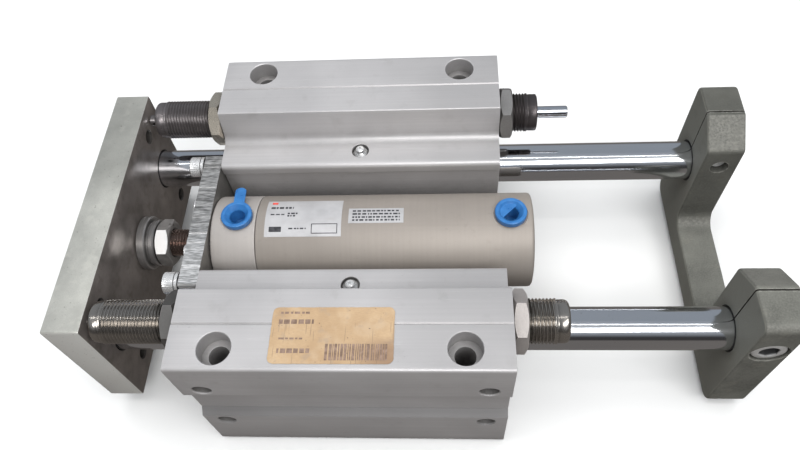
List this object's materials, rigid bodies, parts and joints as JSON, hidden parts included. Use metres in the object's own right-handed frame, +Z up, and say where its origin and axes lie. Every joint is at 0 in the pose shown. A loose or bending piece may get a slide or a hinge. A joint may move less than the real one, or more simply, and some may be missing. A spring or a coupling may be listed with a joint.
{
  "type": "guided pneumatic cylinder",
  "caption": "Round pneumatic cylinder between two guide towers; its piston rod and guide rods move a front and a rear plate, with a shock absorber at each end of each tower.",
  "frame": {"origin": "under the middle of the object's length, on the cylinder's centre plane, level with the underside of the guide body", "axes": "+Z up; the cylinder, the guide rods and the stroke lie along X, the piston rod comes out along -X; -Y is the near tower's side"},
  "size_m": [0.317, 0.172, 0.0933],
  "materials": {
    "anodised": "satin clear anodised extrusion",
    "barrel": "champagne hard anodised",
    "cover": "champagne hard anodised",
    "steel": "rolled steel, ground, dull nickel tone",
    "cast": "dark olive grey cast surface",
    "chrome": "hard chrome, ground",
    "nickel": "bright nickel",
    "gunmetal": "dark gunmetal plating",
    "zinc": "bright zinc plating",
    "blackened": "black oxide",
    "brass": "turned",
    "rubber": "matte",
    "resin": "plain",
    "blue": "moulded",
    "bearing": "ground bearing steel"
  },
  "bodies": {
    "body": {"absorber_far_front": "gunmetal", "absorber_far_rear": "gunmetal", "absorber_near_front": "nickel", "absorber_near_rear": "nickel", "absorber_nut_far_front": "gunmetal", "absorber_nut_far_rear": "gunmetal", "absorber_nut_near_front": "nickel", "absorber_nut_near_rear": "nickel", "absorber_rod_near_rear": "chrome", "ball_bushing_far_front": "bearing", "ball_bushing_far_rear": "bearing", "ball_bushing_near_front": "bearing", "ball_bushing_near_rear": "bearing", "bumper_front": "rubber", "bumper_rear": "rubber", "cylinder_screw_far_high": "zinc", "cylinder_screw_far_low": "zinc", "cylinder_screw_near_high": "zinc", "cylinder_screw_near_low": "zinc", "cylinder_tube": "barrel", "flange_screw_far_high": "zinc", "flange_screw_far_low": "zinc", "flange_screw_near_high": "zinc", "flange_screw_near_low": "zinc", "grease_nipple_far": "zinc", "grease_nipple_near": "zinc", "guide_body": "anodised", "rod_bush": "brass", "rod_cover": "cover", "rod_seal": "rubber", "small_flange": "steel", "wiper_far_front": "rubber", "wiper_far_rear": "rubber", "wiper_near_front": "rubber", "wiper_near_rear": "rubber"},
    "slide": {"front_plate": "steel", "rear_plate": "cast", "guide_rod_near": "chrome", "guide_rod_far": "chrome", "piston_rod": "chrome", "piston": "anodised", "piston_seal": "rubber", "wear_ring": "resin", "end_bracket": "blackened", "rod_nut": "chrome", "front_screw_near": "zinc", "front_screw_far": "zinc", "front_screw_centre": "zinc", "clamp_screw_near": "zinc", "clamp_screw_far": "zinc"},
    "plunger_near_front": {"absorber_rod_near_front": "chrome"},
    "plunger_far_front": {"absorber_rod_far_front": "chrome"},
    "plunger_far_rear": {"absorber_rod_far_rear": "chrome"},
    "plug_front": {"port_plug_front": "blue"},
    "plug_rear": {"port_plug_rear": "blue"}
  },
  "joints": [
    {"name": "slide_stroke", "type": "slide", "parent": "body", "child": "slide", "axis": [-1, 0, 0], "range_m": [0, 0.075]},
    {"name": "plunger_near_front_travel", "type": "slide", "parent": "body", "child": "plunger_near_front", "axis": [-1, 0, 0], "range_m": [0, 0.0135]},
    {"name": "plunger_far_front_travel", "type": "slide", "parent": "body", "child": "plunger_far_front", "axis": [-1, 0, 0], "range_m": [0, 0.0099]},
    {"name": "plunger_far_rear_travel", "type": "slide", "parent": "body", "child": "plunger_far_rear", "axis": [-1, 0, 0], "range_m": [0, 0.0106]},
    {"name": "plug_front_pull", "type": "slide", "parent": "body", "child": "plug_front", "axis": [0, 0, 1], "range_m": [0, 0.02]},
    {"name": "plug_rear_pull", "type": "slide", "parent": "body", "child": "plug_rear", "axis": [0, 0, 1], "range_m": [0, 0.02]}
  ],
  "couplings": [
    {"joint": "plunger_near_front_travel", "follows": "slide_stroke", "ratio": 0.18},
    {"joint": "plunger_far_front_travel", "follows": "slide_stroke", "ratio": 0.132},
    {"joint": "plunger_far_rear_travel", "follows": "slide_stroke", "ratio": 0.14133}
  ]
}
